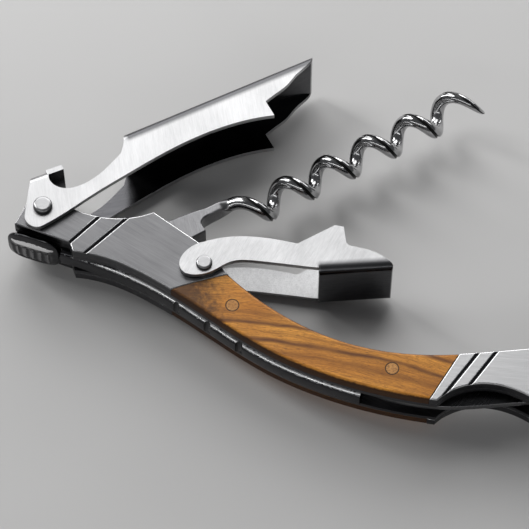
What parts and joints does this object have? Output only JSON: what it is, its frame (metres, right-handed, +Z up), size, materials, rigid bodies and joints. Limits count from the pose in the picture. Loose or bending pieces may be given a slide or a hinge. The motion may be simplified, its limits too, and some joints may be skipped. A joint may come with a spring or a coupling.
{
  "type": "waiters corkscrew",
  "caption": "Folding waiter's corkscrew lying opened out: curved wood-and-steel handle, long and short channel levers, grooved spiral worm and folded foil cutter.",
  "frame": {"origin": "centre of the underside of the whole object's box, as it lies on its side", "axes": "+X along the handle from the lever rivet to the tail, +Y towards the open side with the levers and the worm, +Z up, along the hinge axes"},
  "size_m": [0.1308, 0.0786, 0.0176],
  "materials": {
    "brushed_steel": "brushed along the part",
    "polished_steel": "polished",
    "liner_steel": "dark, ground edges",
    "blade_steel": "ground",
    "washer_steel": "plain",
    "olive_wood": "oiled, with dark wavy grain",
    "pin_wood": "end grain"
  },
  "bodies": {
    "handle": {"top_liner": "liner_steel", "bottom_liner": "liner_steel", "top_head_bolster": "brushed_steel", "bottom_head_bolster": "brushed_steel", "top_scale": "olive_wood", "bottom_scale": "olive_wood", "top_tail_bolster": "brushed_steel", "bottom_tail_bolster": "brushed_steel", "backspring": "polished_steel", "thumb_tab": "polished_steel", "head_spacer": "liner_steel", "tail_spacer": "liner_steel", "scale_pins": "pin_wood", "spring_pins": "liner_steel", "tail_pins": "liner_steel", "long_lever_rivet": "polished_steel", "short_lever_rivet": "polished_steel", "lever_washers": "washer_steel", "worm_pin": "liner_steel", "cutter_pin": "polished_steel", "cutter_washers": "washer_steel"},
    "long_lever": {"long_lever": "brushed_steel"},
    "short_lever": {"short_lever": "brushed_steel"},
    "worm": {"worm_tang": "polished_steel", "worm_helix": "polished_steel"},
    "foil_cutter": {"foil_cutter": "blade_steel"}
  },
  "joints": [
    {"name": "long_lever_hinge", "type": "hinge", "parent": "handle", "child": "long_lever", "pos_m": [-0.05936, -0.02042, 0.00879], "axis": [0, 0, 1], "range_deg": [-5, 95]},
    {"name": "short_lever_hinge", "type": "hinge", "parent": "handle", "child": "short_lever", "pos_m": [-0.02156, -0.02232, 0.00879], "axis": [0, 0, 1], "range_deg": [-23, 6]},
    {"name": "worm_hinge", "type": "hinge", "parent": "handle", "child": "worm", "pos_m": [-0.03386, -0.01742, 0.00879], "axis": [0, 0, 1], "range_deg": [-22, 12]},
    {"name": "foil_cutter_hinge", "type": "hinge", "parent": "handle", "child": "foil_cutter", "pos_m": [0.05764, -0.02362, 0.00879], "axis": [0, 0, 1], "range_deg": [0, 165]}
  ]
}
